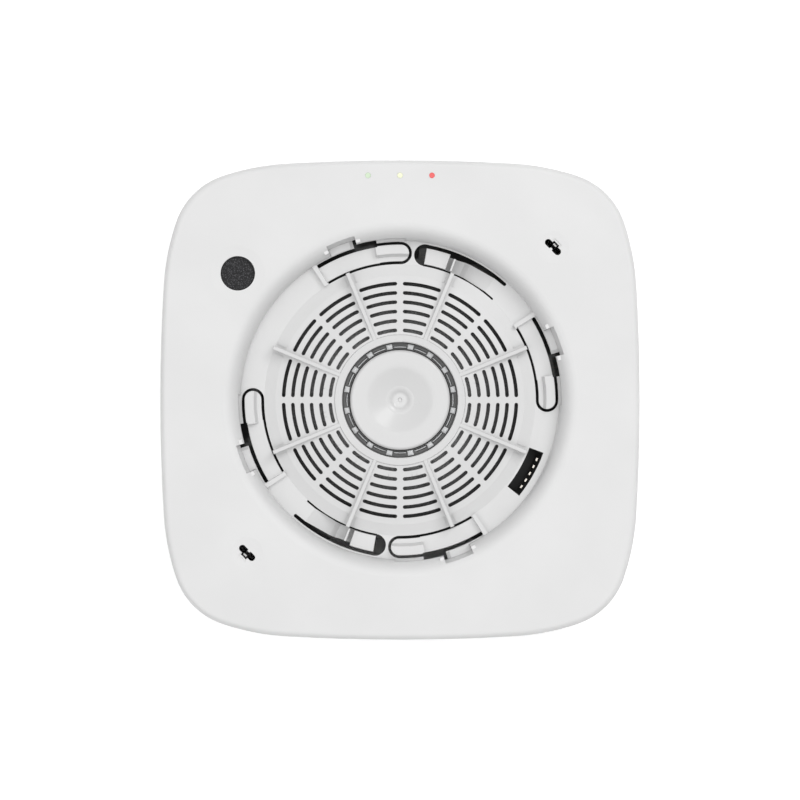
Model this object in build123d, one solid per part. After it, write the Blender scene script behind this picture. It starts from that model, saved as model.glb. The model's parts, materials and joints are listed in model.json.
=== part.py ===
from build123d import *
from math import cos, degrees, radians, sin
import os

# Square-faced smoke detector on its twist-lock mounting plate, lying on its back.
# Millimetres. Z = 0 is the back of the mounting plate, +Z points out of the face,
# and +Y is the edge that carries the three status lights.

# Outline of the face: each side is a very flat arc, then a shoulder arc, then a corner arc
half_width = 75.0
side_turn = 3.38            # degrees that half of a flat side turns through
shoulder_end = 18.7         # direction of the outline where the corner arc begins
shoulder_radius = 75.85
corner_radius = 23.07

# Heights from the mounting face
wall_gap = 1.0              # shadow gap between the wall and the housing
split_height = 33.3         # where the face plate meets the rear housing
face_height = 44.0          # flat front face
ring_height = 36.0          # floor of the round bay
ring_thickness = 1.6
hub_height = 41.0           # bright ring round the test button
dome_edge_height = 37.5     # outer edge of the vented part of the dome
dome_top_height = 40.5      # inner edge of the vented part of the dome

# Walls
skin = 2.0                  # face plate
housing_inset = 1.2         # rear housing stands back from the face plate's outline
housing_skin = 2.2
face_edge_fillet = 1.8
housing_edge_fillet = 4.0

# Mounting plate and its twist lock
plate_radius = 55.0
plate_thickness = 2.4
plate_hole_half = 15.0
plate_hole_corner = 6.0
screw_slot_half = 2.1
screw_slot_length = 10.0
screw_spacing_x = 60.0
screw_spacing_y = 84.0
rim_inner = 48.0
rim_outer = 50.4
lug_outer = 54.0
lug_low = 5.0
lug_high = 7.0
lug_half_angle = 8.0
lug_stop_angle = 2.4
tab_inner = 51.4
tab_low = 3.0
tab_high = 4.5
tab_half_angle = 7.0
recess_radius = 57.0
recess_depth = 7.0

# Round bay in the face
bay_radius = 50.0
lip_radius = 5.5            # width of the convex lip between the bay wall and the face
lip_depth = 6.8             # height of the lip, a quarter of an ellipse
ring_outer = 54.0
well_inner = 41.2           # tube below the dome
dome_radius = 42.65
well_low = 14.3
latch_count = 4
pawl_count = 2
ear_radius = 57.0
ear_angle = 65.0
ear_size = 3.3

# Latch arm of the bay, given for the arm at the top; the others follow at quarter turns
arm_inner = 43.4
arm_outer = 48.5
latch_root = 121.8
latch_pad_start = 99.3
latch_tip = 89.7            # centre of the rounded tip
latch_tip_radius = 2.6
latch_slot_radius = 3.5
tip_centre_radius = 46.15
window_start = 98.5
notch_start = 105.6
notch_end = 115.7
notch_slit_end = 106.8
relief_radius = 50.7
pad_height = 38.2

# Pawl arm of the bay, given for the upper one; the other is half a turn away
pawl_root = 47.6
pawl_tip = 80.2
pawl_slot_radius = 3.42
pawl_low = 31.6             # top of the sunk part of the arm
pawl_pad = 36.3             # top of the square pad at its end
root_gap = 0.05             # degrees between an arm and the ring
hinge_web = 0.4             # thickness of the ring above the groove under an arm's root
hinge_groove = 0.5          # degrees

# Vented dome
rib_count = 8
rib_width = 1.25
rib_height = 40.9
rib_outer = 43.0
vent_width = 1.15
vent_rows = [21.85, 24.8, 27.75, 30.7, 33.6, 36.5]
vent_middle_gap = 0.9
vent_rib_gap = 1.3
hub_inner = 18.1
hub_outer = 20.6
dome_skin = 1.5

# Light ring and test button
post_count = 16
post_half_angle = 3.2
button_radius = 15.65
board_low = 30.4
board_high = 32.0

# Status lights
light_y = 70.2
light_pitch = 10.0
light_radius = 0.85

# Round port and release slots
port_x = -50.7
port_y = 39.6
port_radius = 5.4
release_radius = 67.6
release_length = 6.25
release_width = 2.15

# Inside
pcb_low = 12.5
pcb_high = 14.1
cell_radius = 8.3
cell_length = 34.2
cell_y = -60.6
cell_z = 21.4
post_places = [(50.0, -36.0), (-50.0, -36.0), (38.0, 54.0), (-38.0, 54.0)]


def outline(inset):
    """Face of the squircle outline, moved inwards by inset."""
    a = radians(side_turn)
    b = radians(shoulder_end)
    blend = (shoulder_radius - corner_radius) * (cos(b) - sin(b))
    side_radius = (half_width - shoulder_radius * (cos(a) - sin(a)) + blend) / (1 - cos(a) + sin(a))
    side_x = half_width - side_radius
    shoulder_x = side_x + (side_radius - shoulder_radius) * cos(a)
    shoulder_y = (side_radius - shoulder_radius) * sin(a)
    corner_x = shoulder_x + (shoulder_radius - corner_radius) * cos(b)
    corner_y = shoulder_y + (shoulder_radius - corner_radius) * sin(b)
    turn = shoulder_end - side_turn
    edges = []
    for quarter in range(4):
        place = Rot(0, 0, 90 * quarter)
        edges += [
            place * CenterArc((side_x, 0), side_radius - inset, -side_turn, 2 * side_turn),
            place * CenterArc((shoulder_x, shoulder_y), shoulder_radius - inset, side_turn, turn),
            place * CenterArc((corner_x, corner_y), corner_radius - inset, shoulder_end, 90 - 2 * shoulder_end),
            place * CenterArc((shoulder_y, shoulder_x), shoulder_radius - inset, 90 - shoulder_end, turn),
        ]
    return make_face(edges)


def prism(face, low, high):
    """Solid that stands on a flat face between two heights."""
    return extrude(Pos(0, 0, low) * face, high - low, dir=(0, 0, 1))


def polar(radius, angle):
    return radius * cos(radians(angle)), radius * sin(radians(angle))


def sector_face(inner, outer, start, end):
    """Flat piece of a ring between two radii and two angles."""
    outer_arc = CenterArc((0, 0), outer, start, end - start)
    inner_arc = CenterArc((0, 0), inner, start, end - start)
    ends = [Line(inner_arc @ 0, outer_arc @ 0), Line(inner_arc @ 1, outer_arc @ 1)]
    return make_face([outer_arc, inner_arc] + ends)


def sector(inner, outer, start, end, low, high):
    return prism(sector_face(inner, outer, start, end), low, high)


def disc(radius, low, high, x=0.0, y=0.0):
    base = (Align.CENTER, Align.CENTER, Align.MIN)
    return Pos(x, y, low) * Cylinder(radius, high - low, align=base)


def ring(inner, outer, low, high, x=0.0, y=0.0):
    return disc(outer, low, high, x, y) - disc(inner, low - 1, high + 1, x, y)


def block(x_low, x_high, y_low, y_high, z_low, z_high):
    size = (x_high - x_low, y_high - y_low, z_high - z_low)
    return Pos(x_low, y_low, z_low) * Box(*size, align=(Align.MIN, Align.MIN, Align.MIN))


def turned(edges, start=0.0, sweep=360.0):
    """Body of revolution about Z from edges given in the XZ plane."""
    return Rot(0, 0, start) * revolve(make_face(edges), Axis.Z, sweep)


def path(*points):
    """Open chain of straight lines through (radius, height) points."""
    places = [(r, 0, z) for r, z in points]
    return [Line(a, b) for a, b in zip(places, places[1:])]


def closed(*points):
    return path(*points, points[0])


def bow(start, middle, end):
    """Arc through three (radius, height) points."""
    return ThreePointArc(*[(r, 0, z) for r, z in (start, middle, end)])


def arc_slot(radius, width, start, end):
    """Curved slot with rounded ends; start and end are its rounded tips."""
    cap = degrees(width / 2 / radius)
    return SlotArc(CenterArc((0, 0), radius, start + cap, end - start - 2 * cap), width)


def radial_bar(sections):
    """Bar along the ring, lofted through (angle, inner, outer, low, high) sections."""
    faces = []
    for angle, inner, outer, low, high in sections:
        corners = [(inner, 0, low), (outer, 0, low), (outer, 0, high), (inner, 0, high)]
        faces.append(Rot(0, 0, angle) * make_face(Polyline(*corners, close=True)))
    return loft(faces, ruled=True)


def edges_at(shape, height):
    return shape.edges().filter_by_position(Axis.Z, height - 0.001, height + 0.001)


def fuse(parts):
    return Part() + list(parts)


def around(part, count, first=0.0):
    """Copies of a part at equal angles about Z."""
    return [Rot(0, 0, first + 360.0 * step / count) * part for step in range(count)]


def mounting_plate():
    plate = disc(plate_radius, 0, plate_thickness) + ring(rim_inner, rim_outer, plate_thickness, lug_high)
    lug = sector(rim_outer - 0.5, lug_outer, -lug_half_angle, lug_half_angle, lug_low, lug_high)
    stop = sector(
        rim_outer - 0.5, lug_outer, -lug_half_angle - lug_stop_angle, -lug_half_angle, plate_thickness, lug_high
    )
    plate = fuse([plate] + around(lug + stop, 4))
    plate -= prism(RectangleRounded(2 * plate_hole_half, 2 * plate_hole_half, plate_hole_corner), -1, 9)
    slot = SlotOverall(screw_slot_length, 2 * screw_slot_half)
    for side in (-0.5, 0.5):
        plate -= prism(Pos(side * screw_spacing_x, 0) * slot, -1, 9)
        plate -= prism(Pos(0, side * screw_spacing_y) * Rot(0, 0, 90) * slot, -1, 9)
    spoke = block(22, rim_inner + 0.5, -0.8, 0.8, plate_thickness, plate_thickness + 1.6)
    return fuse([plate] + around(spoke, 4, 45))


def rear_housing():
    floor = wall_gap + housing_skin
    lip_inner = housing_inset + housing_skin
    shell = prism(outline(housing_inset), wall_gap, split_height)
    shell = fillet(shell.edges().group_by(Axis.Z)[0], housing_edge_fillet)
    shell -= prism(outline(lip_inner), floor, split_height + 1)
    shell += prism(outline(skin + 0.2) - outline(lip_inner), split_height - 1, split_height + 2)
    roof = wall_gap + recess_depth
    shell += disc(recess_radius + housing_skin, floor - 0.5, roof + housing_skin - 0.2)
    shell -= disc(recess_radius, 0, roof)
    tab = sector(tab_inner, recess_radius + 0.5, -tab_half_angle, tab_half_angle, tab_low, tab_high)
    shell = fuse([shell] + around(tab, 4))
    for x, y in post_places:
        shell += disc(3.2, floor - 0.5, pcb_low, x, y) - disc(1.25, floor + 1, pcb_low + 1, x, y)
    cheek = block(68.9, 71.0, 2.9, 4.6, floor - 0.5, 9.0)
    cheeks = cheek + mirror(cheek, Plane.XZ)
    return fuse([shell] + around(cheeks, 2, 45))


def bay_lip():
    """Elliptic lip and short straight wall of the bay, one skin thick."""
    low = ring_height
    centre_r = bay_radius + lip_radius
    centre_z = face_height - lip_depth
    outside = Plane.XZ * EllipticalCenterArc((centre_r, centre_z), lip_radius, lip_depth, 90, arc_size=90)
    inside = Plane.XZ * EllipticalCenterArc((centre_r, centre_z), lip_radius - skin, lip_depth - skin, 90, arc_size=90)
    edges = [outside, inside]
    edges += path((bay_radius, centre_z), (bay_radius, low), (bay_radius + skin, low), (bay_radius + skin, centre_z))
    edges += path((centre_r, face_height), (centre_r + 0.5, face_height))
    edges += path((centre_r + 0.5, face_height), (centre_r + 0.5, face_height - skin))
    edges += path((centre_r + 0.5, face_height - skin), (centre_r, face_height - skin))
    return turned(edges)


def release_cut():
    """Release slot with a bay for the hook's peg on its outer side and a nub on its inner side, at angle 0."""
    slot = Pos(release_radius, 0) * Rot(0, 0, 90) * SlotOverall(release_length, release_width)
    edge = release_radius + release_width / 2
    peg_bay = Pos(edge, 0) * Rectangle(1.3, 2.3)
    nub = Pos(release_radius - release_width / 2, 0) * RectangleRounded(1.1, 1.0, 0.35)
    step = block(edge - 0.5, edge + 1.35, -1.5, 1.5, face_height - 0.7, face_height + 1)
    return prism(slot + peg_bay - nub, face_height - skin - 0.5, face_height + 1) + step


def face_plate():
    inside = face_height - skin
    plate = prism(outline(0), split_height, face_height)
    plate = fillet(plate.edges().group_by(Axis.Z)[-1], face_edge_fillet)
    plate -= prism(outline(skin), split_height - 1, inside)
    plate -= disc(bay_radius + lip_radius, split_height - 1, face_height + 1)
    plate += bay_lip()
    pocket = sector(bay_radius + 1, bay_radius + 5.2, notch_start - 1.6, notch_end + 1.6, ring_height, inside + 0.4)
    notch = turned(
        closed((49, 35), (52.2, 35), (52.2, 38), (53.2, 42), (53.2, 46), (49, 46)),
        notch_start,
        notch_end - notch_start,
    )
    relief = sector(49, relief_radius, 88, notch_slit_end, 35, 46)
    plate = fuse([plate] + around(pocket, latch_count)) - around(notch, latch_count) - around(relief, latch_count)
    for angle in (ear_angle, ear_angle + 90, ear_angle + 180, ear_angle + 270):
        x, y = polar(ear_radius, angle)
        plate += disc(3.0, ring_height, inside + 0.5, x, y) - disc(1.0, ring_height - 1, inside - 1, x, y)
    plate -= Pos(port_x, port_y, face_height + 72.0) * Sphere(72.5)
    plate += disc(port_radius + 1.4, 25.6, inside + 0.5, port_x, port_y)
    plate -= disc(port_radius, 20, 50, port_x, port_y)
    for step in (-1, 0, 1):
        plate -= disc(light_radius + 0.05, inside - 1, face_height + 1, step * light_pitch, light_y)
    for side in (-1, 1):
        plate += disc(1.3, 35.2, inside + 0.5, side * 13.0, 68.6)
    catch = block(70.8, 72.4, -4.6, 4.6, 36.4, 38.3)
    leg = block(70.2, 72.4, 3.2, 4.6, 36.4, inside + 0.5)
    catch = catch + leg + mirror(leg, Plane.XZ)
    dish = Pos(release_radius, 0, face_height + 36.0) * Sphere(36.35)
    plate = fuse([plate] + around(catch, 2, 45))
    return plate - around(dish, 2, 45) - around(release_cut(), 2, 45)


def latch_footprint():
    """Plan of one latch arm with its rounded tip."""
    body = sector_face(arm_inner, arm_outer, window_start - 0.2, latch_root - root_gap)
    neck = sector_face(arm_inner + 0.15, arm_outer + 0.25, latch_tip, window_start)
    return body + neck + Pos(*polar(tip_centre_radius, latch_tip)) * Circle(latch_tip_radius)


def latch_cut():
    """Slots that free one latch arm from the ring."""
    gap = arm_inner - dome_radius
    hole = sector_face(arm_inner - 0.1, arm_outer + 0.1, latch_tip, latch_root)
    outer_slot = arc_slot(49.1, 1.2, latch_tip, latch_root)
    inner_slot = arc_slot(dome_radius + gap / 2, gap, latch_tip, latch_root - 0.3)
    tip = Pos(*polar(tip_centre_radius, latch_tip)) * Circle(latch_slot_radius)
    side = sector_face(dome_radius, 49.6, latch_tip, window_start)
    window = sector_face(48.0, relief_radius, window_start, notch_slit_end)
    slit = sector_face(49.5, 53.0, notch_start, notch_slit_end)
    plan = hole + outer_slot + inner_slot + tip + side + window + slit
    return prism(plan, ring_height - 3, ring_height + 3)


def pawl_cut():
    """Slots that free one pawl arm from the ring."""
    hole = sector_face(43.0, 48.55, pawl_root, pawl_tip)
    outer_slot = arc_slot(48.95, 1.1, pawl_root - 0.3, pawl_tip)
    inner_slot = arc_slot(42.9, 0.5, pawl_root - 0.3, pawl_tip)
    wide = sector_face(dome_radius, 49.5, pawl_tip - 14, pawl_tip)
    tip = Pos(*polar(tip_centre_radius, pawl_tip)) * Circle(pawl_slot_radius)
    return prism(hole + outer_slot + inner_slot + wide + tip, ring_height - 3, ring_height + 3)


def bay_ring():
    low = ring_height - ring_thickness
    step = ring_height - 1.0
    body = turned(closed(
        (well_inner, well_low), (dome_radius, well_low), (dome_radius, low), (ring_outer, low),
        (ring_outer, ring_height), (dome_radius, ring_height), (dome_radius, step), (well_inner, step),
    ))
    body -= around(latch_cut(), latch_count)
    body -= around(pawl_cut(), pawl_count)
    body -= sector(43.3, 48.0, -38.8, -20.2, low - 1, ring_height + 1)
    web_low = ring_height - hinge_web
    latch_groove = sector(arm_inner - 0.1, arm_outer + 0.1, latch_root - 0.1, latch_root + hinge_groove, low - 1, web_low)
    pawl_groove = sector(43.0, 48.55, pawl_root - hinge_groove, pawl_root + 0.1, low - 1, web_low)
    body -= around(latch_groove, latch_count) + around(pawl_groove, pawl_count)
    ridge = sector(dome_radius, bay_radius, latch_root, latch_root + 1.7, ring_height - 0.3, ring_height + 1.7)
    ledge = radial_bar([
        (notch_slit_end, 49.95, 52.15, ring_height - 0.3, ring_height + 0.05),
        (108.0, 49.95, 52.15, ring_height - 0.3, ring_height + 1.0),
        (111.8, 49.95, 52.15, ring_height - 0.3, ring_height + 1.0),
        (notch_end - 0.2, 49.95, 52.15, ring_height - 0.3, ring_height + 1.0),
    ])
    body = fuse([body] + around(ridge, latch_count) + around(ledge, latch_count))
    for angle in (ear_angle, ear_angle + 90, ear_angle + 180, ear_angle + 270):
        x, y = polar(ear_radius, angle)
        body += disc(ear_size, low, ring_height, x, y)
        body -= disc(1.1, low - 1, ring_height + 1, x, y)
    return body


def latch_arm(number):
    low = ring_height - ring_thickness
    plan = latch_footprint()
    arm = prism(plan, low, ring_height)
    root = (*polar(tip_centre_radius, latch_root), ring_height)
    arm = fillet(edges_at(arm, ring_height).sort_by_distance(root)[1:], 0.18)
    pad = prism(plan & sector_face(45.0, 49.3, 80, latch_pad_start), ring_height - 0.5, pad_height)
    slope = closed((44.0, ring_height), (45.0, ring_height), (45.9, pad_height + 0.1), (44.0, pad_height + 0.1))
    pad -= turned(slope, 80, 25)
    pad = fillet(edges_at(pad, pad_height), 0.25)
    return Rot(0, 0, -90 * number) * (arm + pad)


def pawl_arm(number):
    low = ring_height - ring_thickness
    root = pawl_root + root_gap
    sunk = pawl_low - 1.6
    arm = radial_bar([
        (root, 43.25, 48.4, low, ring_height),
        (52.0, 43.25, 48.3, low, ring_height),
        (62.5, 43.25, 47.9, sunk + 1.0, pawl_low + 1.0),
        (64.5, 43.25, 47.8, sunk, pawl_low),
        (67.5, 43.25, 47.5, sunk, pawl_low),
        (71.0, 43.25, 47.5, sunk, pawl_low),
        (75.5, 43.25, 48.4, sunk, pawl_low),
        (80.0, 43.25, 48.4, sunk, pawl_low),
    ])
    wall = sector(43.3, 47.4, 68.2, 69.0, pawl_low - 0.5, 39.6)
    wall = fillet(edges_at(wall, 39.6), 0.2)
    pad = sector(43.3, 48.35, 70.8, 79.95, pawl_low - 0.5, pawl_pad)
    pad = fillet(edges_at(pad, pawl_pad), 0.2)
    return Rot(0, 0, 180 * number) * (arm + wall + pad)


def bay_ring_screws():
    low = ring_height - ring_thickness
    screw = disc(2.1, low - 1.6, low) + disc(0.9, low - 0.2, low + 6.0)
    screw -= disc(0.9, low - 1.7, low - 0.9)
    return [Pos(*polar(ear_radius, ear_angle + 90 * step)) * screw for step in range(4)]


def dome_bow(drop, inner=hub_outer, outer=39.06):
    """Arc of the dome's outer face, lowered by drop."""
    middle = (inner + outer) / 2
    rise = dome_top_height - dome_edge_height
    ends = [(39.06 - r) / (39.06 - hub_outer) for r in (inner, middle, outer)]
    heights = [dome_edge_height + rise * (1.35 * t - 0.35 * t * t) - drop for t in ends]
    return bow((inner, heights[0]), (middle, heights[1]), (outer, heights[2])), heights


def vent_dome():
    over, top = dome_bow(0)
    under, bottom = dome_bow(dome_skin)
    edges = path((hub_inner + 1.5, bottom[0]), (hub_inner + 1.5, board_high), (hub_inner, board_high))
    edges += path((hub_inner, board_high), (hub_inner, hub_height - 0.35))
    edges += [bow((hub_inner, hub_height - 0.35), (hub_inner + 0.1, hub_height - 0.1), (hub_inner + 0.35, hub_height))]
    edges += path((hub_inner + 0.35, hub_height), (hub_outer - 0.25, hub_height), (hub_outer, top[0]))
    edges += [over, under]
    edges += path((39.06, top[2]), (dome_radius, ring_height), (dome_radius, ring_height - 1.0))
    edges += path((dome_radius, ring_height - 1.0), (41.3, ring_height - 1.0), (39.06, bottom[2]))
    edges += path((hub_outer, bottom[0]), (hub_inner + 1.5, bottom[0]))
    dome = turned(edges)

    vents = []
    for radius in vent_rows:
        start = degrees((vent_middle_gap) / radius)
        end = 22.5 - degrees(vent_rib_gap / radius)
        vents += around(arc_slot(radius, vent_width, start, end), rib_count)
        vents += around(arc_slot(radius, vent_width, -end, -start), rib_count)
    dome -= [prism(vent, 33, 43) for vent in vents]

    under_rib, base = dome_bow(0.7, hub_outer, 39.06)
    rib_edges = [under_rib] + path(
        (39.06, base[2]), (rib_outer - 0.6, ring_height - 0.35), (rib_outer - 0.4, ring_height + 0.05),
        (rib_outer, ring_height + 0.05), (rib_outer, rib_height), (19.5, rib_height), (19.5, base[0]),
        (hub_outer, base[0]),
    )
    rib = extrude(make_face(rib_edges), rib_width / 2, both=True)
    rib = fillet(edges_at(rib, rib_height), 0.25)
    flank = closed((39.3, 36.6), (42.3, 35.5), (42.3, ring_height + 0.5), (39.3, dome_edge_height + 0.35))
    flank = extrude(make_face(flank), 0.25, both=True)
    sides = [Rot(0, 0, 2.5) * flank, Rot(0, 0, -2.5) * flank]
    return fuse([dome] + around(fuse([rib] + sides), rib_count, 22.5))


def insect_mesh():
    """Cone of fine wire mesh, close below the dome at the hub and well below it at the outside."""
    return turned(closed((20.0, 38.0), (40.9, 32.2), (40.9, 31.8), (20.0, 37.6)))


def light_ring():
    """Clear ring: a base, posts that rise through the shade, and two thin bands that join the posts."""
    base = ring(15.98, 17.95, board_high, 36.4)
    post = sector(16.2, 17.75, -post_half_angle, post_half_angle, 36.2, 39.9)
    bands = ring(17.2, 17.9, 38.75, 39.2) + ring(16.4, 16.72, 38.65, 39.05)
    return fuse([base, bands] + around(post, post_count, 11.25))


def ring_shade():
    body = ring(15.96, 18.05, 36.45, 38.2)
    hole = sector(16.15, 17.8, -post_half_angle - 0.2, post_half_angle + 0.2, 36, 39)
    return body - around(hole, post_count, 11.25)


def test_button():
    """Round button with a rounded edge, a flat band, a cone-like dish, a centre pit, a skirt and a stem."""
    top = hub_height - 0.15
    edges = path((0, top - 3.5), (0, 36.65), (2.2, 36.65), (4.6, 37.6), (10.6, 39.1))
    edges += path((10.6, 39.1), (13.9, 39.4), (13.9, 36.9), (button_radius, 36.9), (button_radius, top - 1.0))
    edges += [bow((button_radius, top - 1.0), (15.38, top - 0.29), (14.75, top))]
    edges += path((14.75, top), (11.6, top))
    edges += [bow((11.6, top), (10.4, top - 0.1), (9.2, top - 0.42))]
    edges += path((9.2, top - 0.42), (4.4, top - 1.95))
    edges += [bow((4.4, top - 1.95), (3.4, top - 2.2), (2.7, top - 2.6))]
    edges += [bow((2.7, top - 2.6), (2.15, top - 2.92), (1.4, top - 3.0))]
    edges += path((1.4, top - 3.0), (0.75, top - 3.05), (0.45, top - 3.5), (0, top - 3.5))
    return turned(edges)


def button_spring():
    wire = 0.35
    turns_path = Helix(pitch=2.4, height=6.4, radius=12.1, center=(0, 0, board_high + wire + 0.03))
    start = turns_path @ 0
    profile = Plane(origin=start, z_dir=turns_path % 0) * Circle(wire)
    return sweep(profile, path=turns_path)


def switch_body():
    return block(-3, 3, -3, 3, board_high, 35.5) - disc(1.75, 34.0, 36)


def switch_plunger():
    return disc(1.66, 35.0, 36.6)


def button_board():
    return disc(19.4, board_low, board_high)


def button_ribbon():
    tail = block(15.0, 36.2, -4.0, 4.0, board_low - 0.25, board_low)
    drop = block(35.95, 36.2, -4.0, 4.0, pcb_high, board_low - 0.1)
    return Rot(0, 0, 10) * (tail + drop)


def chamber_base():
    return disc(34.0, pcb_high, 16.0) - disc(8.0, pcb_high + 0.9, 17.0)


def chamber_labyrinth():
    foot = ring(25.0, 33.0, 16.0, 17.0)
    blade = Pos(28.0, 0, 22.0) * Rot(0, 0, 38) * Box(5.2, 0.9, 10.2)
    tail = Pos(30.7, 0.6, 22.0) * Rot(0, 0, -42) * Box(4.4, 0.9, 10.2)
    return fuse([foot] + around(blade + tail, 20))


def chamber_cap():
    post = disc(1.6, 28.2, board_low, 14.0, 0)
    cap = disc(34.5, 27.1, 28.6) + ring(33.2, 34.5, 25.6, 27.2)
    return fuse([cap] + around(post, 3, 45))


def optic(angle):
    """Round optical part lying on its pedestal inside the smoke chamber, aimed at the middle."""
    barrel = Pos(16.5, 0, 21.5) * Rot(0, 90, 0) * Cylinder(2.4, 7.0)
    lens = Pos(13.0, 0, 21.5) * Sphere(2.2)
    pedestal = block(14.5, 19.0, -1.8, 1.8, 16.0, 21.0)
    return Rot(0, 0, angle) * (barrel + lens + pedestal)


def main_pcb():
    board = Pos(0, 9.0) * RectangleRounded(120.0, 106.0, 9.0)
    board = prism(board, pcb_low, pcb_high)
    board -= disc(7.0, 0, 20, *polar(68.6, 45))
    for x, y in post_places:
        board -= disc(1.6, 0, 20, x, y)
    return board


def pcb_components():
    """Processor, radio, regulator and a few smaller parts, as separate blocks on the board."""
    chips = [
        (-8, 6, 45, 57, 1.2), (15, 27, 43, 56, 2.4), (45, 55, -8, 6, 1.6), (-56, -48, -12, 0, 1.4),
        (46, 52, 18, 30, 3.0), (-28, -20, 43, 51, 1.0), (-56, -49, 6, 14, 1.1), (29, 33, 47, 53, 1.0),
    ]
    return [block(*chip[:4], pcb_high, pcb_high + chip[4]) for chip in chips]


def pcb_screws():
    screw = disc(2.6, pcb_high, pcb_high + 1.7) + disc(1.1, 5.5, pcb_high + 0.5)
    screw -= disc(1.0, pcb_high + 0.8, pcb_high + 3)
    return [Pos(x, y) * screw for x, y in post_places]


def battery_holder():
    low = wall_gap + recess_depth + housing_skin - 0.2
    tray = block(-37.4, 37.4, cell_y - 9.1, cell_y + 9.1, low, 19.0)
    tray += block(-37.4, -35.6, cell_y - 9.1, cell_y + 9.1, low, 27.0)
    tray += block(35.6, 37.4, cell_y - 9.1, cell_y + 9.1, low, 27.0)
    cradle = Pos(0, cell_y, cell_z) * Rot(0, 90, 0) * Cylinder(cell_radius + 0.3, 71.2)
    return tray - cradle


def battery(side):
    """One cell with its raised end, lying along X."""
    cell = Pos(side * 17.5, cell_y, cell_z) * Rot(0, 90, 0) * Cylinder(cell_radius, cell_length - 1.2)
    nub = Pos(side * 17.5 + cell_length / 2 - 0.6, cell_y, cell_z) * Rot(0, 90, 0) * Cylinder(2.9, 1.2)
    return cell + nub


def battery_contacts():
    plate = Rot(0, 90, 0) * Cylinder(5.5, 0.4)
    return [Pos(x, cell_y, cell_z) * plate for x in (-35.2, 0.0, 35.2)]


def sounder_case():
    case = disc(14.0, pcb_high, 25.2, port_x, port_y) - disc(12.9, pcb_high + 1.2, 24.0, port_x, port_y)
    case += ring(11.6, 13.2, 18.2, 19.6, port_x, port_y)
    return case - disc(3.6, 20, 26, port_x, port_y)


def sounder_disc():
    return disc(12.6, 19.6, 19.9, port_x, port_y) + disc(9.0, 19.8, 20.1, port_x, port_y)


def port_mesh():
    return disc(port_radius, 41.6, 42.7, port_x, port_y)


def led_board():
    return block(-15.5, 15.5, 66.4, 71.4, 34.0, 35.2)


def status_led(step):
    x = step * light_pitch
    base = block(x - 1.6, x + 1.6, 68.8, 71.2, 35.2, 36.0)
    return base + Pos(x, light_y, 35.9) * Cylinder(0.8, 0.8)


def light_pipe(step):
    x = step * light_pitch
    rod = disc(light_radius, 36.5, face_height, x, light_y)
    return rod + disc(1.7, 40.0, face_height - skin, x, light_y)


def bay_connector():
    """Socket below the arc-shaped window: a sloping inner half and a deep outer half."""
    body = sector(43.2, 48.9, -40, -19, 22.0, 33.9) + sector(44.4, 47.6, -34, -25, pcb_high, 22.5)
    body -= sector(45.9, 48.3, -38.4, -20.6, 23.5, 34.5)
    slope = closed((43.3, 34.2), (43.3, 33.7), (46.1, 31.6), (46.1, 34.2))
    return body - turned(slope, -39.3, 19.6)


def connector_pins():
    return [sector(46.8, 47.3, angle - 0.6, angle + 0.6, 23.5, 27.0) for angle in (-35.5, -32.5, -29.5, -26.5, -23.5)]


def release_hook(number):
    """Springy hook that holds the face plate; its top shows in the release slot."""
    strip = block(69.6, 70.3, -2.6, 2.6, 3.4, 39.6)
    head = block(70.1, 71.6, -2.4, 2.4, 38.5, 39.6)
    peg = block(68.3, 69.8, -0.6, 0.6, 35.5, 36.5) + block(68.3, 68.8, -0.6, 0.6, 35.5, 41.8)
    return Rot(0, 0, 45 + 180 * number) * (strip + head + peg)


def save(name, shape):
    """Write one node; a list is a group of separate solids."""
    solids = shape if isinstance(shape, list) else [shape]
    pieces = [solid for item in solids for solid in item.solids()]
    node = pieces[0] if len(pieces) == 1 else Compound(children=pieces)
    node.label = name
    export_step(node, os.path.join("parts", name + ".step"))


os.makedirs("parts", exist_ok=True)
light_names = {-1: "green", 0: "yellow", 1: "red"}
plain_nodes = [
    mounting_plate, rear_housing, face_plate, bay_ring, bay_ring_screws, vent_dome, insect_mesh,
    light_ring, ring_shade, test_button, button_spring, switch_body, switch_plunger, button_board,
    button_ribbon, chamber_base, chamber_labyrinth, chamber_cap, main_pcb, pcb_components, pcb_screws,
    battery_holder, battery_contacts, sounder_case, sounder_disc, port_mesh, led_board, bay_connector,
    connector_pins,
]
for maker in plain_nodes:
    save(maker.__name__, maker())
save("ir_emitter", optic(200))
save("photodiode", optic(70))
for index in range(latch_count):
    save("latch_arm_%d" % (index + 1), latch_arm(index))
for index in range(pawl_count):
    save("pawl_arm_%d" % (index + 1), pawl_arm(index))
    save("release_hook_%d" % (index + 1), release_hook(index))
for side, number in ((-1, 1), (1, 2)):
    save("battery_%d" % number, battery(side))
for step, colour in light_names.items():
    save("status_led_" + colour, status_led(step))
    save("light_pipe_" + colour, light_pipe(step))
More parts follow.
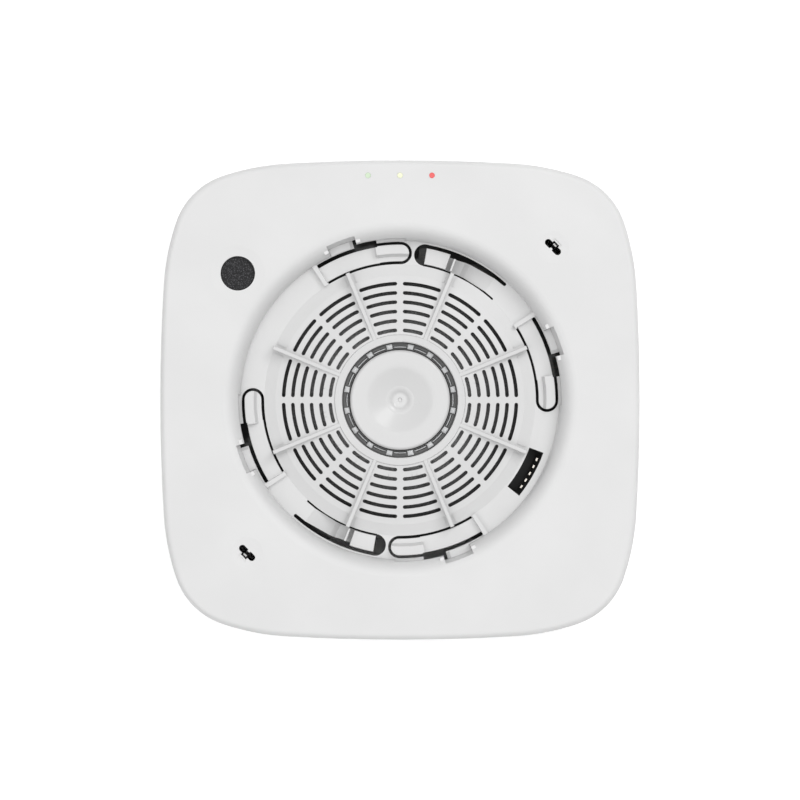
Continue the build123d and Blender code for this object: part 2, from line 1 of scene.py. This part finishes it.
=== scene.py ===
import bpy
import bmesh
import json
from math import cos, pi, radians, sin
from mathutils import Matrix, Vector


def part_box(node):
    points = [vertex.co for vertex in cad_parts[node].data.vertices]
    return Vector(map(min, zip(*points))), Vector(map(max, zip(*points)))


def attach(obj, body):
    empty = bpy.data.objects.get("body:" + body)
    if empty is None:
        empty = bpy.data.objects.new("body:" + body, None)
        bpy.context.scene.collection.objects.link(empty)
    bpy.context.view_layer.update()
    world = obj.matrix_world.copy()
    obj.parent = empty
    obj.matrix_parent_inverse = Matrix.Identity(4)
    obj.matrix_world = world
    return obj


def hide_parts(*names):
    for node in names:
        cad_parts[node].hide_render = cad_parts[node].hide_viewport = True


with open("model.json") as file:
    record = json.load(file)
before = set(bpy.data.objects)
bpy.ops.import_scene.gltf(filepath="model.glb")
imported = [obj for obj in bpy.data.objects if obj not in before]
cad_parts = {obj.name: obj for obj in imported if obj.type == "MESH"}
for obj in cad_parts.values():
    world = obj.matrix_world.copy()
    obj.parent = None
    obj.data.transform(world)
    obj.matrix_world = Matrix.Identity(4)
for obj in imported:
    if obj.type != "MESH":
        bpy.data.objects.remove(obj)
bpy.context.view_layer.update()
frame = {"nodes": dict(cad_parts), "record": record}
mm = 0.001
print("frame loaded:", len(frame["nodes"]), "nodes")

# camera straight above the face, soft lamps mostly from the upper right
shot = {"lens": 250.0, "sensor": 36.0, "width": 250.0, "focusHeight": 44.0, "farLimit": 20}
studio = {
    "floorSize": 3.0, "floorTone": 0.93, "floorGlow": 0.3, "lampAim": (0, 0, 0.03),
    "zenith": 1.22, "horizon": 0.02, "riseLow": 0.2, "riseHigh": 0.95,
}
lamps = {
    "keyLamp": {"place": (0.70, 0.75, 1.15), "size": 0.75, "power": 5.2},
    "fillLamp": {"place": (-0.8, -0.5, 1.4), "size": 1.3, "power": 1.6},
    "topLamp": {"place": (0.0, 0.15, 1.7), "size": 1.3, "power": 3.9},
}


def makeCamera():
    data = bpy.data.cameras.new("camera")
    data.lens = shot["lens"]
    data.sensor_width = shot["sensor"]
    distance = shot["width"] * mm / 2 / (shot["sensor"] / 2 / shot["lens"])
    camera = bpy.data.objects.new("camera", data)
    camera.location = (0, 0, shot["focusHeight"] * mm + distance)
    data.clip_end = shot["farLimit"]
    bpy.context.scene.collection.objects.link(camera)
    bpy.context.scene.camera = camera


def makeLamps():
    for name, lamp in lamps.items():
        data = bpy.data.lights.new(name, "AREA")
        data.shape = "DISK"
        data.size = lamp["size"]
        data.energy = lamp["power"]
        item = bpy.data.objects.new(name, data)
        item.location = lamp["place"]
        aim = Vector(studio["lampAim"]) - Vector(lamp["place"])
        item.rotation_euler = aim.to_track_quat("-Z", "Y").to_euler()
        bpy.context.scene.collection.objects.link(item)


def makeSky():
    # soft box above, dark towards the horizon, so that upright walls read darker than flat faces
    world = bpy.data.worlds.new("studio")
    world.use_nodes = True
    nodes, links = world.node_tree.nodes, world.node_tree.links
    place = nodes.new("ShaderNodeTexCoord")
    split = nodes.new("ShaderNodeSeparateXYZ")
    rise = nodes.new("ShaderNodeMapRange")
    rise.inputs["From Min"].default_value = studio["riseLow"]
    rise.inputs["From Max"].default_value = studio["riseHigh"]
    rise.inputs["To Min"].default_value = studio["horizon"]
    rise.inputs["To Max"].default_value = studio["zenith"]
    links.new(place.outputs["Generated"], split.inputs["Vector"])
    links.new(split.outputs["Z"], rise.inputs["Value"])
    links.new(rise.outputs["Result"], nodes["Background"].inputs["Strength"])
    nodes["Background"].inputs["Color"].default_value = (1, 1, 1, 1)
    bpy.context.scene.world = world


# helpers for the finishes
def newMaterial(name):
    material = bpy.data.materials.new(name)
    material.use_nodes = True
    nodes = material.node_tree.nodes
    return material, nodes, material.node_tree.links, nodes["Principled BSDF"]


def stretched(nodes, links, scale):
    place = nodes.new("ShaderNodeTexCoord")
    stretch = nodes.new("ShaderNodeMapping")
    stretch.inputs["Scale"].default_value = scale
    links.new(place.outputs["Object"], stretch.inputs["Vector"])
    return stretch.outputs["Vector"]


def noiseNode(nodes, links, scale, detail=2.0, stretch=(1, 1, 1)):
    texture = nodes.new("ShaderNodeTexNoise")
    texture.inputs["Scale"].default_value = scale
    texture.inputs["Detail"].default_value = detail
    links.new(stretched(nodes, links, stretch), texture.inputs["Vector"])
    return texture.outputs["Fac"]


def waveNode(nodes, links, pitch, direction="X"):
    # straight stripes, pitch in mm
    texture = nodes.new("ShaderNodeTexWave")
    texture.bands_direction = direction
    texture.inputs["Scale"].default_value = pi / (10 * pitch * mm)
    links.new(stretched(nodes, links, (1, 1, 1)), texture.inputs["Vector"])
    return texture.outputs["Fac"]


def cellNode(nodes, links, size):
    # size of one cell in mm
    texture = nodes.new("ShaderNodeTexVoronoi")
    texture.inputs["Scale"].default_value = 1 / (size * mm)
    links.new(stretched(nodes, links, (1, 1, 1)), texture.inputs["Vector"])
    return texture.outputs["Distance"]


def mixed(nodes, links, first, second, operation):
    join = nodes.new("ShaderNodeMath")
    join.operation = operation
    links.new(first, join.inputs[0])
    links.new(second, join.inputs[1])
    return join.outputs[0]


def spread(nodes, links, source, low, high, start=0.3, end=0.7):
    remap = nodes.new("ShaderNodeMapRange")
    remap.inputs["From Min"].default_value = start
    remap.inputs["From Max"].default_value = end
    remap.inputs["To Min"].default_value = low
    remap.inputs["To Max"].default_value = high
    links.new(source, remap.inputs["Value"])
    return remap.outputs["Result"]


def twoTone(nodes, links, factor, first, second, start=0.35, end=0.65):
    ramp = nodes.new("ShaderNodeValToRGB")
    ramp.color_ramp.elements[0].position = start
    ramp.color_ramp.elements[1].position = end
    ramp.color_ramp.elements[0].color = (*first, 1)
    ramp.color_ramp.elements[1].color = (*second, 1)
    links.new(factor, ramp.inputs["Fac"])
    return ramp.outputs["Color"]


def shade(colour, amount):
    return tuple(min(1.0, c * amount) for c in colour)


def reliefBump(nodes, links, shader, source, strength, depth):
    # depth in mm
    bump = nodes.new("ShaderNodeBump")
    bump.inputs["Strength"].default_value = strength
    bump.inputs["Distance"].default_value = depth * mm
    links.new(source, bump.inputs["Height"])
    links.new(bump.outputs["Normal"], shader.inputs["Normal"])


# finishes, one function per kind of material
def mouldedPlastic(name, colour, roughness=0.5, grain=0.45, depth=0.02, contrast=0.02, uneven=0.06):
    material, nodes, links, shader = newMaterial(name)
    cloud = noiseNode(nodes, links, 40, 3)
    fine = noiseNode(nodes, links, 1000 / grain, 2)
    tint = twoTone(nodes, links, cloud, shade(colour, 1 - contrast), shade(colour, 1 + contrast / 2))
    links.new(tint, shader.inputs["Base Color"])
    polish = mixed(nodes, links, fine, noiseNode(nodes, links, 120, 2), "MULTIPLY")
    sheen = spread(nodes, links, polish, roughness - uneven, roughness + uneven, 0.1, 0.45)
    links.new(sheen, shader.inputs["Roughness"])
    reliefBump(nodes, links, shader, fine, 0.35, depth)
    return material


def wovenWire(name, colour, pitch=0.42, near=(22, 1.9), far=(38, 0.55)):
    # plain weave of fine wire; near and far are radius in mm and brightness, painted shade that keeps it
    # paler towards the middle and darker towards the rim
    material, nodes, links, shader = newMaterial(name)
    across, along = waveNode(nodes, links, pitch, "X"), waveNode(nodes, links, pitch, "Y")
    weave = mixed(nodes, links, across, along, "MAXIMUM")
    tint = twoTone(nodes, links, weave, shade(colour, 0.25), shade(colour, 1.4), 0.5, 0.9)
    reach = nodes.new("ShaderNodeVectorMath")
    reach.operation = "LENGTH"
    links.new(stretched(nodes, links, (1, 1, 0)), reach.inputs[0])
    paintedShadeScale = nodes.new("ShaderNodeVectorMath")
    paintedShadeScale.operation = "SCALE"
    links.new(tint, paintedShadeScale.inputs[0])
    # painted shade: brightness falls from near to far across the radius, darker where the outer rows lie in
    # shadow
    paintedShadeByReach = spread(nodes, links, reach.outputs["Value"], near[1], far[1], near[0] * mm, far[0] * mm)
    links.new(paintedShadeByReach, paintedShadeScale.inputs["Scale"])
    links.new(paintedShadeScale.outputs["Vector"], shader.inputs["Base Color"])
    links.new(spread(nodes, links, noiseNode(nodes, links, 900), 0.4, 0.6), shader.inputs["Roughness"])
    reliefBump(nodes, links, shader, weave, 0.8, 0.08)
    return material


def openFoam(name, colour, cell=0.55):
    material, nodes, links, shader = newMaterial(name)
    pores = cellNode(nodes, links, cell)
    small = cellNode(nodes, links, cell * 0.45)
    depth = mixed(nodes, links, pores, small, "ADD")
    # painted shade: the pits of the cells are coloured darker than their rims
    tint = twoTone(nodes, links, depth, shade(colour, 2.2), shade(colour, 0.3), 0.3, 0.95)
    links.new(tint, shader.inputs["Base Color"])
    links.new(spread(nodes, links, small, 0.8, 1.0), shader.inputs["Roughness"])
    reliefBump(nodes, links, shader, depth, 0.9, -0.35)
    return material


def brushedMetal(name, colour, roughness=0.3, along=(1, 14, 1)):
    material, nodes, links, shader = newMaterial(name)
    lines = noiseNode(nodes, links, 350, 3, along)
    tint = twoTone(nodes, links, lines, shade(colour, 0.82), shade(colour, 1.1))
    links.new(tint, shader.inputs["Base Color"])
    links.new(spread(nodes, links, lines, roughness - 0.08, roughness + 0.12), shader.inputs["Roughness"])
    reliefBump(nodes, links, shader, lines, 0.25, 0.01)
    shader.inputs["Metallic"].default_value = 1.0
    return material


def circuitBoard(name, colour, copper=(0.035, 0.03, 0.022)):
    # dark lacquer with tracks showing faintly through it
    material, nodes, links, shader = newMaterial(name)
    tracks = nodes.new("ShaderNodeTexBrick")
    tracks.inputs["Scale"].default_value = 1.0
    tracks.inputs["Brick Width"].default_value = 6.5 * mm
    tracks.inputs["Row Height"].default_value = 1.3 * mm
    tracks.inputs["Mortar Size"].default_value = 0.16 * mm
    tracks.inputs["Color1"].default_value = (*colour, 1)
    tracks.inputs["Color2"].default_value = (*shade(colour, 1.25), 1)
    tracks.inputs["Mortar"].default_value = (*copper, 1)
    links.new(stretched(nodes, links, (1, 1, 1)), tracks.inputs["Vector"])
    links.new(tracks.outputs["Color"], shader.inputs["Base Color"])
    links.new(spread(nodes, links, noiseNode(nodes, links, 500), 0.28, 0.42), shader.inputs["Roughness"])
    reliefBump(nodes, links, shader, tracks.outputs["Fac"], 0.5, -0.03)
    shader.inputs["Coat Weight"].default_value = 0.3
    return material


def ribbonFilm(name, colour, copper=(0.75, 0.36, 0.16)):
    # amber film over copper stripes
    material, nodes, links, shader = newMaterial(name)
    stripes = waveNode(nodes, links, 1.0, "Y")
    links.new(twoTone(nodes, links, stripes, colour, copper, 0.45, 0.55), shader.inputs["Base Color"])
    links.new(spread(nodes, links, noiseNode(nodes, links, 600), 0.18, 0.3), shader.inputs["Roughness"])
    reliefBump(nodes, links, shader, stripes, 0.4, 0.03)
    shader.inputs["Coat Weight"].default_value = 0.5
    return material


def shrinkWrap(name, colour, band=(0.55, 0.56, 0.58)):
    # printed sleeve with a paler band at every cell, and fine wrinkles
    material, nodes, links, shader = newMaterial(name)
    bands = waveNode(nodes, links, 35.0, "X")
    wrinkles = noiseNode(nodes, links, 420, 3, (1, 5, 5))
    links.new(twoTone(nodes, links, bands, band, colour, 0.3, 0.32), shader.inputs["Base Color"])
    links.new(spread(nodes, links, wrinkles, 0.2, 0.34), shader.inputs["Roughness"])
    reliefBump(nodes, links, shader, wrinkles, 0.3, 0.04)
    shader.inputs["Coat Weight"].default_value = 0.4
    return material


def clearMoulding(name, colour, roughness=0.12, clear=0.75, glow=0.0):
    # tinted see-through plastic with faint flow lines, and an optional painted glow from its own emission
    material, nodes, links, shader = newMaterial(name)
    flow = noiseNode(nodes, links, 260, 3, (1, 1, 3))
    tint = twoTone(nodes, links, flow, shade(colour, 0.93), shade(colour, 1.04))
    links.new(tint, shader.inputs["Base Color"])
    links.new(spread(nodes, links, flow, roughness - 0.04, roughness + 0.08), shader.inputs["Roughness"])
    reliefBump(nodes, links, shader, flow, 0.2, 0.02)
    shader.inputs["Transmission Weight"].default_value = clear
    shader.inputs["IOR"].default_value = 1.58
    shader.inputs["Emission Color"].default_value = (*colour, 1)
    # painted glow: the part gives off light of its own colour though it is no lamp
    shader.inputs["Emission Strength"].default_value = glow
    return material


finishes = {
    "white_plastic": (mouldedPlastic, {
        "colour": (0.72, 0.72, 0.72), "roughness": 0.50, "grain": 0.5, "depth": 0.015,
    }),
    # painted shade: a darker copy of white_plastic for the parts down in the bay
    "recess_shaded_white_plastic": (mouldedPlastic, {
        "colour": (0.65, 0.65, 0.65), "roughness": 0.50, "grain": 0.5, "depth": 0.015,
    }),
    "white_gloss_plastic": (mouldedPlastic, {
        "colour": (0.645, 0.645, 0.645), "roughness": 0.24, "grain": 0.9, "depth": 0.003,
        "contrast": 0.008, "uneven": 0.02,
    }),
    "grey_white_plastic": (mouldedPlastic, {
        "colour": (0.66, 0.66, 0.65), "roughness": 0.48, "grain": 0.5, "depth": 0.02,
    }),
    "charcoal_plastic": (mouldedPlastic, {
        "colour": (0.17, 0.17, 0.17), "roughness": 0.4, "grain": 0.4, "depth": 0.02,
    }),
    "black_plastic": (mouldedPlastic, {
        "colour": (0.012, 0.012, 0.012), "roughness": 0.6, "grain": 0.35, "depth": 0.04,
    }),
    "chip_black": (mouldedPlastic, {
        "colour": (0.03, 0.03, 0.032), "roughness": 0.55, "grain": 0.2, "depth": 0.03,
    }),
    "led_body": (mouldedPlastic, {
        "colour": (0.82, 0.80, 0.70), "roughness": 0.3, "grain": 0.3, "depth": 0.01,
    }),
    "dark_mesh": (wovenWire, {"colour": (0.14, 0.14, 0.14)}),
    "dark_foam": (openFoam, {"colour": (0.085, 0.085, 0.09)}),
    "spring_steel": (brushedMetal, {"colour": (0.62, 0.62, 0.62), "roughness": 0.25}),
    "zinc_steel": (brushedMetal, {"colour": (0.66, 0.68, 0.70), "roughness": 0.32, "along": (1, 1, 8)}),
    "nickel": (brushedMetal, {"colour": (0.74, 0.70, 0.64), "roughness": 0.28}),
    "brass_disc": (brushedMetal, {"colour": (0.80, 0.60, 0.27), "roughness": 0.3}),
    "board_lacquer": (circuitBoard, {"colour": (0.012, 0.014, 0.013)}),
    "amber_film": (ribbonFilm, {"colour": (0.42, 0.19, 0.04)}),
    "cell_wrap": (shrinkWrap, {"colour": (0.09, 0.20, 0.34)}),
    "tinted_epoxy": (clearMoulding, {"colour": (0.10, 0.07, 0.16), "clear": 0.5}),
    "clear_plastic": (clearMoulding, {"colour": (0.86, 0.87, 0.88), "clear": 0.3, "roughness": 0.08}),
    # painted light: the lenses glow a little to pale their colours, they are no lamps
    "green_lens": (clearMoulding, {"colour": (0.60, 0.74, 0.54), "clear": 0.1, "glow": 0.08}),
    "yellow_lens": (clearMoulding, {"colour": (0.84, 0.87, 0.62), "clear": 0.1, "glow": 0.08}),
    "red_lens": (clearMoulding, {"colour": (0.80, 0.09, 0.09), "clear": 0.1, "glow": 0.12}),
}


# mouldings down in the bay get a darker copy of the cover's white, painted shade for the recess
recessShadedNodes = ("bay_ring", "vent_dome", "latch", "pawl")


def dressNodes():
    made = {}
    for part in frame["record"]["subparts"]:
        slotName = part["material_slot"]
        if slotName == "white_plastic" and part["node"].startswith(recessShadedNodes):
            slotName = "recess_shaded_white_plastic"
        if slotName not in made:
            recipe, look = finishes[slotName]
            made[slotName] = recipe(slotName + "Finish", **look)
        node = frame["nodes"][part["node"]]
        node.data.materials.clear()
        node.data.materials.append(made[slotName])
    print("finishes made:", len(made))
    return made


def makeFloor():
    half = studio["floorSize"] / 2
    mesh = bpy.data.meshes.new("floor")
    corners = [(-half, -half, 0), (half, -half, 0), (half, half, 0), (-half, half, 0)]
    mesh.from_pydata(corners, [], [(0, 1, 2, 3)])
    floor = bpy.data.objects.new("floor", mesh)
    bpy.context.scene.collection.objects.link(floor)
    tone = studio["floorTone"]
    paper = mouldedPlastic("floorPaper", (tone, tone, tone), roughness=0.8, contrast=0.0)
    shader = paper.node_tree.nodes["Principled BSDF"]
    shader.inputs["Emission Color"].default_value = (1, 1, 1, 1)
    shader.inputs["Emission Strength"].default_value = studio["floorGlow"]
    mesh.materials.append(paper)


# mesh helpers for the pieces that stand in for CAD nodes
def newPiece(name, mesh, finish, body):
    for corner in mesh.verts:
        corner.co *= mm
    bmesh.ops.remove_doubles(mesh, verts=mesh.verts, dist=0.001 * mm)
    bmesh.ops.recalc_face_normals(mesh, faces=mesh.faces)
    data = bpy.data.meshes.new(name)
    mesh.to_mesh(data)
    mesh.free()
    piece = bpy.data.objects.new(name, data)
    bpy.context.scene.collection.objects.link(piece)
    data.materials.append(finish)
    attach(piece, body)
    return piece


def arcBar(mesh, section, start, end, steps):
    # closed (radius, height) section swept about Z; a full turn joins up, a shorter one gets end caps
    full = end - start >= 360
    rows = []
    for step in range(steps if full else steps + 1):
        angle = radians(start + (end - start) * step / steps)
        rows.append([mesh.verts.new((r * cos(angle), r * sin(angle), z)) for r, z in section])
    count = len(section)
    pairs = [(rows[i], rows[(i + 1) % len(rows)]) for i in range(len(rows) if full else len(rows) - 1)]
    for first, second in pairs:
        for i in range(count):
            j = (i + 1) % count
            mesh.faces.new((first[i], first[j], second[j], second[i]))
    if not full:
        mesh.faces.new(rows[0][::-1])
        mesh.faces.new(rows[-1])


def boxSection(inner, outer, low, high):
    return [(inner, low), (outer, low), (outer, high), (inner, high)]


def softenEdges(piece, width, segments=2, sharpAngle=35):
    # rounded edges, width in mm
    bevel = piece.modifiers.new("softEdges", "BEVEL")
    bevel.width = width * mm
    bevel.segments = segments
    bevel.limit_method = "ANGLE"
    bevel.angle_limit = radians(sharpAngle)
    for face in piece.data.polygons:
        face.use_smooth = True
    weighted = piece.modifiers.new("cleanShading", "WEIGHTED_NORMAL")
    weighted.keep_sharp = True


lightRing = {
    "turnSteps": 192, "guideSteps": 12, "guideGap": 1.15, "threadInset": 0.3,
    "clearRounding": 0.07, "shadeRounding": 0.06,
    "posts": 16, "firstPost": 11.25, "postHalfAngle": 3.1, "postInner": 16.15, "postOuter": 17.7,
    "postLow": 37.6, "postShoulder": 39.4, "postTop": 40.0,
    "guideInner": 16.42, "guideOuter": 16.82, "guideLow": 36.9, "guideHigh": 38.5,
    "threadInner": 16.56, "threadOuter": 16.7, "threadHigh": 38.85,
    "shade": [(15.96, 36.5), (18.0, 36.5), (18.0, 38.3), (17.2, 38.95), (17.06, 38.95),
              (17.06, 36.8), (16.14, 36.8), (16.14, 38.9), (15.96, 38.9)],
    "base": [(15.98, 32.05), (17.9, 32.05), (17.9, 36.45), (15.98, 36.45)],
    "cheekInner": 16.1, "cheekOuter": 17.1, "cheekLow": 36.75, "cheekHigh": 38.92,
    "cheekAngle": 0.55, "cheekHalf": 0.3,
}


def makeLightRing():
    look = lightRing
    pitch = 360 / look["posts"]
    clear = bmesh.new()
    arcBar(clear, look["base"], 0, 360, look["turnSteps"])
    for index in range(look["posts"]):
        middle = look["firstPost"] + pitch * index
        half = look["postHalfAngle"]
        addPost(clear, middle, half)
        first, last = middle + half + look["guideGap"], middle + pitch - half - look["guideGap"]
        guide = boxSection(look["guideInner"], look["guideOuter"], look["guideLow"], look["guideHigh"])
        arcBar(clear, guide, first, last, look["guideSteps"])
        thread = boxSection(look["threadInner"], look["threadOuter"], look["guideHigh"], look["threadHigh"])
        arcBar(clear, thread, first + look["threadInset"], last - look["threadInset"], look["guideSteps"])
    piece = newPiece("lightGuideRing", clear, plastics["clear_plastic"], "detector")
    softenEdges(piece, look["clearRounding"])
    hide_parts("light_ring")
    dark = bmesh.new()
    arcBar(dark, look["shade"], 0, 360, look["turnSteps"])
    for index in range(look["posts"]):
        middle = look["firstPost"] + pitch * index
        for side in (-1, 1):
            edge = middle + side * (look["postHalfAngle"] + look["cheekAngle"])
            cheek = boxSection(look["cheekInner"], look["cheekOuter"], look["cheekLow"], look["cheekHigh"])
            arcBar(dark, cheek, edge - look["cheekHalf"], edge + look["cheekHalf"], 2)
    piece = newPiece("ringShadeMoulding", dark, plastics["charcoal_plastic"], "detector")
    softenEdges(piece, look["shadeRounding"])
    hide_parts("ring_shade")
    print("light ring made")


def addPost(mesh, middle, half):
    # clear post with a shallow four-sided roof
    look = lightRing
    inner, outer = look["postInner"], look["postOuter"]
    ends = [(inner, middle - half), (outer, middle - half), (outer, middle + half), (inner, middle + half)]

    def place(r, angle, z):
        return mesh.verts.new((r * cos(radians(angle)), r * sin(radians(angle)), z))

    low = [place(r, angle, look["postLow"]) for r, angle in ends]
    high = [place(r, angle, look["postShoulder"]) for r, angle in ends]
    tip = place((inner + outer) / 2, middle, look["postTop"])
    mesh.faces.new(low[::-1])
    for i in range(4):
        j = (i + 1) % 4
        mesh.faces.new((low[i], low[j], high[j], high[i]))
        mesh.faces.new((high[i], high[j], tip))


hubMarks = {
    "radius": 19.55, "size": 1.55, "angles": (0, 90, 180, 270), "points": 120,
    "ringInner": 18.25, "ringOuter": 20.4, "wire": 0.06, "sink": 0.02, "rise": 0.03,
}


def makeHubMarks():
    # faint ejector marks, cut where the hub ring ends
    look = hubMarks
    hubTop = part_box("vent_dome")[1][2] / mm
    marks = bmesh.new()
    for angle in look["angles"]:
        cx, cy = look["radius"] * cos(radians(angle)), look["radius"] * sin(radians(angle))
        points = []
        for step in range(look["points"]):
            turn = 2 * pi * step / look["points"]
            x, y = cx + look["size"] * cos(turn), cy + look["size"] * sin(turn)
            reach = (x * x + y * y) ** 0.5
            points.append((x, y) if look["ringInner"] < reach < look["ringOuter"] else None)
        for first, second in zip(points, points[1:] + points[:1]):
            if first and second:
                addThread(marks, first, second, hubTop)
    newPiece("hubEjectorMarks", marks, plastics["recess_shaded_white_plastic"], "detector")


def addThread(mesh, first, second, height):
    # short low ridge between two points
    a, b = Vector((*first, 0)), Vector((*second, 0))
    side = (b - a).normalized().cross(Vector((0, 0, 1))) * hubMarks["wire"] / 2
    low, high = height - hubMarks["sink"], height + hubMarks["rise"]
    rows = []
    for point in (a, b):
        profile = ((-1, low), (0, high), (1, low))
        rows.append([mesh.verts.new(point + side * k + Vector((0, 0, z))) for k, z in profile])
    for i in range(2):
        mesh.faces.new((rows[0][i], rows[0][i + 1], rows[1][i + 1], rows[1][i]))
    mesh.faces.new((rows[0][2], rows[0][0], rows[1][0], rows[1][2]))


hingeWebs = {
    "pawlRoot": 47.6, "half": 0.45, "inner": 43.3, "outer": 48.4, "slope": 0.1,
    "top": 36.0, "rise": 0.03, "sink": 0.1,
}


def makeHingeWebs():
    # thin skin of plastic over the line where each springy arm leaves the ring
    look = hingeWebs
    low, high = look["top"] - look["sink"], look["top"] + look["rise"]
    inner, outer, slope = look["inner"], look["outer"], look["slope"]
    section = [(inner, low), (outer, low), (outer - slope, high), (inner + slope, high)]
    webs = bmesh.new()
    for root in (look["pawlRoot"], look["pawlRoot"] + 180):
        arcBar(webs, section, root - look["half"], root + look["half"], 4)
    newPiece("pawlHingeWebs", webs, plastics["recess_shaded_white_plastic"], "detector")


bpy.context.scene.view_settings.view_transform = "Standard"
makeCamera()
makeLamps()
makeSky()
makeFloor()
plastics = dressNodes()
makeLightRing()
makeHingeWebs()
makeHubMarks()
